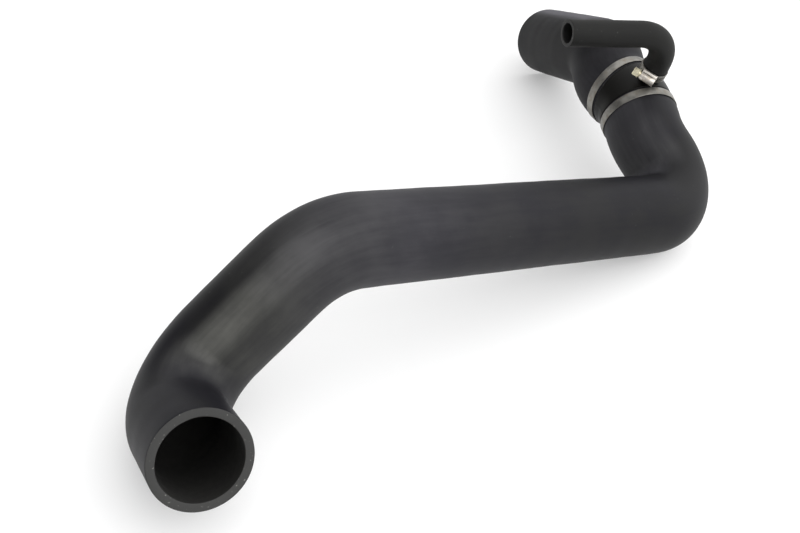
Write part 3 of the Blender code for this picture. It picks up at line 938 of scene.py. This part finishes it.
def rounded_line(points, radius, steps):
    """Open line in a plane with its inner corners rounded."""
    line = [points[0]]
    for before, here, after in zip(points, points[1:], points[2:]):
        back = before - here
        ahead = after - here
        take = min(radius, back.length * 0.45, ahead.length * 0.45)
        one = here + back.normalized() * take
        two = here + ahead.normalized() * take
        line += round_corner(one, here, two, steps)
    line.append(points[-1])
    return line


def strip(name, line, thickness, width, closed, finish):
    """Sheet strip with rounded edges bent along a line in its own XY plane."""
    edge = thickness * 0.45
    section = []
    for cx, cz, start in ((1, 1, 0), (-1, 1, 90), (-1, -1, 180), (1, -1, 270)):
        for k in range(4):
            a = math.radians(start + 30 * k)
            section.append((cx * (thickness / 2 - edge) + edge * math.cos(a),
                            cz * (width / 2 - edge) + edge * math.sin(a)))
    count = len(line)
    bm = bmesh.new()
    bm.loops.layers.uv.new("along")
    rows = []
    run = [0.0]
    for i, point in enumerate(line):
        before = line[(i - 1) % count] if closed or i > 0 else point
        after = line[(i + 1) % count] if closed or i < count - 1 else point
        way = (after - before).normalized()
        normal = Vector((way.y, -way.x))
        spots = [(point + normal * out, z) for out, z in section]
        rows.append([bm.verts.new((spot.x, spot.y, z)) for spot, z in spots])
        if i:
            run.append(run[-1] + (point - line[i - 1]).length)
    run.append(run[-1] + (line[0] - line[-1]).length)
    ends = rows[1:] + rows[:1] if closed else rows[1:]
    heights = [z / UV_UNIT for _, z in section]
    across = list(zip(heights, heights[1:] + heights[:1]))
    for i, (one, two) in enumerate(zip(rows, ends)):
        facets(bm, one, two, (run[i] / UV_UNIT, run[i + 1] / UV_UNIT), across)
    if not closed:
        bm.faces.new(rows[0])
        bm.faces.new(rows[-1])
    return from_bmesh(name, bm, [material(finish)], 50.0)


class HOSE_OT_ear_clamps(bpy.types.Operator):
    """Make the two ear clamps on the large hoses."""

    bl_idname = "hose.ear_clamps"
    bl_label = "Ear clamps"

    def execute(self, context):
        for node, way in (("main_hose_clamp", -MAIN_SIDE), ("elbow_hose_clamp", ELBOW_SIDE)):
            obj = self.make(context.scene.hose_clamps, node, way)
            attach(obj, "hose_assembly")
            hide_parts(node)
        return {"FINISHED"}

    def make(self, c, node, way):
        mid = c.inner + c.thickness / 2
        half_foot = 2.2 * MM
        foot = math.asin(half_foot / mid)
        ring = []
        for k in range(161):
            a = foot + (2 * math.pi - 2 * foot) * k / 160
            ring.append(Vector((math.cos(a), math.sin(a))) * mid)
        rise, half = c.ear_height, c.ear_half
        ear = [(0.10, half_foot * 0.9), (0.50, half * 0.80), (0.72, half)]
        ear += [(0.95, half * 0.85), (0.99, half * 0.3)]
        points = [ring[-1]]
        points += [Vector((mid + rise * up, -out)) for up, out in ear]
        points += [Vector((mid + rise * up, out)) for up, out in reversed(ear)]
        points.append(ring[0])
        line = ring + rounded_line(points, 1.4 * MM, 4)[1:-1]
        obj = strip(node + "_skin", line, c.thickness, c.width, True, "band_steel_finish")
        return settle(obj, TEE_CENTRE + way * c.offset, axes(way, Vector((0, 0, -1))))


def worm_turn():
    """Rotation of the worm clamp: X out through the housing, Z along the stub."""
    screw = next(j for j in frame["joints"] if j["name"] == "clamp_screw_turn")
    head_way = Vector(screw["axis"]).normalized()
    out = BRANCH_SIDE.cross(head_way)
    return axes(BRANCH_SIDE, out), head_way, Vector(screw["pos_m"])


class NodeGroup:
    """Geometry node tree with named inputs that gives one painted geometry."""

    def __init__(self, name, inputs):
        self.tree = bpy.data.node_groups.new(name, "GeometryNodeTree")
        for label, kind in inputs.items():
            self.socket(label, kind, "INPUT")
        self.socket("Geometry", "Geometry", "OUTPUT")
        self.given = self.tree.nodes.new("NodeGroupInput").outputs

    def socket(self, label, kind, side):
        self.tree.interface.new_socket(label, in_out=side, socket_type="NodeSocket" + kind)

    def node(self, kind, inputs, **settings):
        """A node with its settings made first, then its inputs; returns its outputs."""
        node = self.tree.nodes.new(kind)
        for key, value in settings.items():
            setattr(node, key, value)
        for key, value in inputs.items():
            for item in value if isinstance(value, list) else [value]:
                if isinstance(item, bpy.types.NodeSocket):
                    self.tree.links.new(item, node.inputs[key])
                else:
                    node.inputs[key].default_value = item
        return node.outputs

    def finish(self, geometry):
        """Realizes a geometry, sets its material and gives it out."""
        real = self.node("GeometryNodeRealizeInstances", {"Geometry": geometry})
        parts = {"Geometry": real["Geometry"], "Material": self.given["Material"]}
        painted = self.node("GeometryNodeSetMaterial", parts)
        self.node("NodeGroupOutput", {"Geometry": painted["Geometry"]})
        return self.tree


def slots_tree():
    """Node tree that cuts slanted slots along a strip at even steps."""
    group = NodeGroup("worm band slots", {
        "Geometry": "Geometry", "Middle line": "Object", "Pitch": "Float",
        "Slot size": "Vector", "Slant": "Float", "Material": "Material"})
    new, given = group.node, group.given
    guide = new("GeometryNodeObjectInfo", {"Object": given["Middle line"]},
                transform_space="ORIGINAL")
    curve = new("GeometryNodeMeshToCurve", {"Mesh": guide["Geometry"]})
    points = new("GeometryNodeCurveToPoints",
                 {"Curve": curve["Curve"], "Length": given["Pitch"]}, mode="LENGTH")
    box = new("GeometryNodeMeshCube", {"Size": given["Slot size"]})
    slant = new("FunctionNodeAxisAngleToRotation",
                {"Axis": (0.0, 1.0, 0.0), "Angle": given["Slant"]})
    turn = new("FunctionNodeRotateRotation",
               {"Rotation": points["Rotation"], "Rotate By": slant["Rotation"]},
               rotation_space="LOCAL")
    copies = new("GeometryNodeInstanceOnPoints", {
        "Points": points["Points"], "Instance": box["Mesh"], "Rotation": turn["Rotation"]})
    real = new("GeometryNodeRealizeInstances", {"Geometry": copies["Instances"]})
    cut = new("GeometryNodeMeshBoolean",
              {"Mesh 1": given["Geometry"], "Mesh 2": real["Geometry"]},
              operation="DIFFERENCE", solver="EXACT")
    return group.finish(cut["Mesh"])


def run_nodes(obj, tree, inputs):
    """Runs a node tree with inputs set by their identifiers and keeps the plain mesh."""
    modifier = obj.modifiers.new(tree.name, "NODES")
    modifier.node_group = tree
    sockets = [item for item in tree.interface.items_tree if item.item_type == "SOCKET"]
    names = {item.name: item.identifier for item in sockets if item.in_out == "INPUT"}
    for key, value in inputs.items():
        modifier[names[key]] = value
    make_plain(obj)


class HOSE_OT_worm_band(bpy.types.Operator):
    """Make the worm clamp's slotted band."""

    bl_idname = "hose.worm_band"
    bl_label = "Worm band"

    def execute(self, context):
        w = context.scene.hose_worm
        low = w.inner + w.thickness / 2
        step = w.thickness + 0.3 * MM
        fixed, tail, ramp = 14.0, 50.0, 30.0
        total = fixed + 360.0 + tail
        ramp_end = 360.0 - fixed / 2
        line = []
        count = 212
        for k in range(count + 1):
            gone = total * k / count
            lift = min(1.0, max(0.0, (gone - (ramp_end - ramp)) / ramp))
            lift = lift * lift * (3 - 2 * lift)
            a = math.radians(fixed - gone)
            line.append(Vector((math.cos(a), math.sin(a))) * (low + step * lift))
        obj = strip("worm_band_skin", line, w.thickness, w.width, False, "band_steel_finish")
        self.cut_slots(obj, line, total, w)
        turn, _, _ = worm_turn()
        settle(obj, TEE_CENTRE + BRANCH_SIDE * w.height, turn)
        shade(obj.data, 35.0)
        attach(obj, "hose_assembly")
        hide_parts("worm_clamp_band")
        return {"FINISHED"}

    def cut_slots(self, obj, line, total, w):
        """Slots along the free part of the strip, clear of its fixed end."""
        slots_from = 150.0
        first = round(len(line) * slots_from / total)
        last = len(line) - 4
        path = [(p.x, p.y, 0.0) for p in line[first:last]]
        mesh = bpy.data.meshes.new("slot line")
        mesh.from_pydata(path, [(k, k + 1) for k in range(len(path) - 1)], [])
        guide = linked("slot line", mesh)
        run_nodes(obj, slots_tree(), {
            "Middle line": guide, "Pitch": w.slot_pitch, "Slant": math.radians(8.0),
            "Slot size": (w.width * 0.58, w.width * 0.58, 0.9 * MM),
            "Material": material("band_steel_finish")})
        bpy.data.objects.remove(guide)


class HOSE_OT_worm_housing(bpy.types.Operator):
    """Make the pressed housing over the worm screw."""

    bl_idname = "hose.worm_housing"
    bl_label = "Worm housing"

    def execute(self, context):
        w = context.scene.hose_worm
        sheet = 0.7 * MM
        turn, _, screw_place = worm_turn()
        centre = TEE_CENTRE + OFFSET + BRANCH_SIDE * w.height
        axis_radius = (screw_place - centre).length
        leg = w.width / 2 + 0.3 * MM + sheet / 2
        arch = w.screw + 0.35 * MM + sheet / 2
        foot = w.inner + 0.3 * MM
        knee = w.inner + 2 * w.thickness + 0.6 * MM
        side = [Vector((foot, leg)), Vector((knee, leg))]
        points = list(side)
        for k in range(25):
            a = math.radians(120.0 - 10.0 * k)
            points.append(Vector((axis_radius + arch * math.cos(a), arch * math.sin(a))))
        points += [Vector((p.x, -p.y)) for p in reversed(side)]
        line = rounded_line(points, 0.7 * MM, 3)
        steel = "housing_steel_finish"
        obj = strip("worm_housing_skin", line, sheet, w.housing_length, False, steel)
        settle(obj, TEE_CENTRE + BRANCH_SIDE * w.height, turn @ Matrix(((1, 0, 0), (0, 0, -1), (0, 1, 0))))
        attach(obj, "hose_assembly")
        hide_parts("worm_clamp_housing")
        return {"FINISHED"}


def thread_tree():
    """Node tree that winds a ridge round the screw's shank."""
    group = NodeGroup("worm thread", {
        "Geometry": "Geometry", "Turns": "Float", "Radius": "Float", "Length": "Float",
        "Start": "Vector", "Ridge": "Float", "Material": "Material"})
    new, given = group.node, group.given
    spiral = new("GeometryNodeCurveSpiral", {
        "Resolution": 28, "Rotations": given["Turns"], "Start Radius": given["Radius"],
        "End Radius": given["Radius"], "Height": given["Length"]})
    ridge = new("GeometryNodeCurvePrimitiveCircle", {"Resolution": 8, "Radius": given["Ridge"]})
    tube = new("GeometryNodeCurveToMesh", {
        "Curve": spiral["Curve"], "Profile Curve": ridge["Curve"], "Fill Caps": True})
    shift = new("GeometryNodeTransform", {
        "Geometry": tube["Mesh"], "Translation": given["Start"]})
    both = new("GeometryNodeJoinGeometry", {"Geometry": [given["Geometry"], shift["Geometry"]]})
    return group.finish(both["Geometry"])


class HOSE_OT_worm_screw(bpy.types.Operator):
    """Make the worm screw with its thread, flange and hex head."""

    bl_idname = "hose.worm_screw"
    bl_label = "Worm screw"

    def execute(self, context):
        w = context.scene.hose_worm
        inner_end = -w.housing_length / 2 + 0.8 * MM
        face = w.housing_length / 2 + 0.3 * MM
        flange = face + 1.0 * MM
        base = flange + 1.0 * MM
        top = base + 5.0 * MM
        corner = w.across_flats / 2 / math.cos(math.pi / 6)
        core = w.screw - 0.5 * MM
        profile = [
            (core - 0.4 * MM, inner_end), (core, inner_end + 0.4 * MM), (core, face - 0.6 * MM),
            (w.screw, face - 0.6 * MM), (w.screw, face),
            (3.3 * MM, face), (3.5 * MM, face + 0.2 * MM),
            (3.5 * MM, flange - 0.15 * MM), (3.4 * MM, flange),
            (4.2 * MM, flange), (4.4 * MM, flange + 0.2 * MM),
            (4.4 * MM, base - 0.3 * MM), (4.15 * MM, base - 0.05 * MM),
            (corner, base), (corner, top - 0.75 * MM),
            (corner - 0.22 * MM, top - 0.35 * MM), (corner - 0.7 * MM, top),
        ]
        hexes = [None] * 13 + [w.across_flats] * 4
        obj = turned("worm_screw_skin", profile, 72, "screw_zinc_finish", hexes)
        self.cut_head(obj, corner, top)
        thread_start = inner_end + 0.9 * MM
        run = face - 1.2 * MM - thread_start
        run_nodes(obj, thread_tree(), {
            "Turns": run / w.thread_pitch, "Radius": core + 0.02 * MM, "Length": run,
            "Start": (0.0, 0.0, thread_start), "Ridge": 0.46 * MM,
            "Material": material("screw_zinc_finish")})
        _, head_way, place = worm_turn()
        settle(obj, place - OFFSET, axes(head_way, BRANCH_SIDE.cross(head_way)))
        shade(obj.data, 30.0)
        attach(obj, "clamp_screw")
        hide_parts("worm_clamp_screw")
        return {"FINISHED"}

    def cut_head(self, obj, corner, top):
        """Cuts the driver slot across the head."""
        bm = bmesh.new()
        bmesh.ops.create_cube(bm, size=1.0)
        slot_width = 1.2 * MM
        slot_depth = 1.6 * MM
        size = (slot_width, 4 * corner, 2 * slot_depth)
        bmesh.ops.scale(bm, vec=size, verts=bm.verts)
        bmesh.ops.translate(bm, vec=(0, 0, top), verts=bm.verts)
        combine(obj, from_bmesh("driver slot", bm, [], 30.0), "DIFFERENCE")


class HOSE_OT_stage(bpy.types.Operator):
    """Make the floor, the lights and the camera."""

    bl_idname = "hose.stage"
    bl_label = "Stage"

    def execute(self, context):
        s = context.scene.hose_stage
        self.floor()
        self.light("key_light", s.key, KEY_SIZE, KEY_PLACE)
        self.light("fill_light", s.fill, FILL_SIZE, FILL_PLACE)
        world = bpy.data.worlds.new("white surround")
        world.use_nodes = True
        self.surround(world.node_tree, s)
        context.scene.world = world
        context.scene.view_settings.view_transform = "Standard"
        camera = linked("photo_camera", bpy.data.cameras.new("photo_camera"))
        camera.data.lens = s.lens
        camera.data.sensor_width = 36.0
        camera.data.clip_start = 0.01
        camera.location = CAMERA_PLACE + OFFSET
        camera.rotation_euler = [math.radians(a) for a in CAMERA_TURN_DEG]
        context.scene.camera = camera
        return {"FINISHED"}

    def surround(self, tree, s):
        """White surround, brighter overhead and dimmer to the left and behind the camera."""
        shading = Shading(tree)
        way = shading.node("ShaderNodeTexCoord", output="Generated")
        x, y, z = (shading.split(way, axis) for axis in "XYZ")
        lean = z * 0.7 + x * 0.5 + y * 0.1
        share = s.dim + (1.0 - s.dim) * shading.ease(lean, -0.35, 0.95)
        backing = tree.nodes["Background"]
        backing.inputs["Color"].default_value = (1.0, 1.0, 1.0, 1.0)
        tree.links.new((share * s.surround).socket, backing.inputs["Strength"])

    def floor(self):
        """Wide pale floor just under the hose."""
        mesh = bpy.data.meshes.new("floor")
        signs = ((-1, -1), (1, -1), (1, 1), (-1, 1))
        corners = [(x * FLOOR_REACH, y * FLOOR_REACH, FLOOR_LEVEL) for x, y in signs]
        mesh.from_pydata(corners, [], [(0, 1, 2, 3)])
        mesh.materials.append(material("floor_paint"))
        floor = linked("floor", mesh)

    def light(self, name, power, size, place):
        data = bpy.data.lights.new(name, "AREA")
        data.energy = power
        data.size = size
        lamp = linked(name, data)
        lamp.location = place
        lamp.rotation_euler = (Vector(LIGHT_AIM) - Vector(place)).to_track_quat("-Z", "Y").to_euler()


class HOSE_PT_panel(bpy.types.Panel):
    """Steps that build the hose."""

    bl_idname = "HOSE_PT_panel"
    bl_label = "Oil hose"
    bl_space_type = "VIEW_3D"
    bl_region_type = "UI"
    bl_category = "Hose"

    def draw(self, context):
        for operator in OPERATORS:
            self.layout.operator(operator.bl_idname)
        for group in ("hose_sizes", "hose_tee", "hose_clamps", "hose_worm", "hose_colours", "hose_stage"):
            box = self.layout.box()
            settings = getattr(context.scene, group)
            for key in settings.bl_rna.properties.keys():
                if key not in ("rna_type", "name"):
                    box.prop(settings, key)


GROUPS = {
    "hose_sizes": HoseSizes,
    "hose_tee": TeeSizes,
    "hose_clamps": ClampSizes,
    "hose_worm": WormSizes,
    "hose_colours": FinishColours,
    "hose_stage": StageSettings,
}
OPERATORS = (
    HOSE_OT_finishes, HOSE_OT_main, HOSE_OT_elbow, HOSE_OT_branch, HOSE_OT_tee,
    HOSE_OT_ear_clamps, HOSE_OT_worm_band, HOSE_OT_worm_housing, HOSE_OT_worm_screw, HOSE_OT_stage,
)


def register():
    for key, group in GROUPS.items():
        bpy.utils.register_class(group)
        setattr(bpy.types.Scene, key, PointerProperty(type=group))
    for item in OPERATORS + (HOSE_PT_panel,):
        bpy.utils.register_class(item)


def unregister():
    for item in reversed(OPERATORS + (HOSE_PT_panel,)):
        bpy.utils.unregister_class(item)
    for key, group in reversed(list(GROUPS.items())):
        delattr(bpy.types.Scene, key)
        bpy.utils.unregister_class(group)


def main():
    register()
    bpy.ops.hose.finishes()
    bpy.ops.hose.main()
    bpy.ops.hose.elbow()
    bpy.ops.hose.branch()
    bpy.ops.hose.tee()
    bpy.ops.hose.ear_clamps()
    bpy.ops.hose.worm_band()
    bpy.ops.hose.worm_housing()
    bpy.ops.hose.worm_screw()
    bpy.ops.hose.stage()


if __name__ == "__main__":
    main()
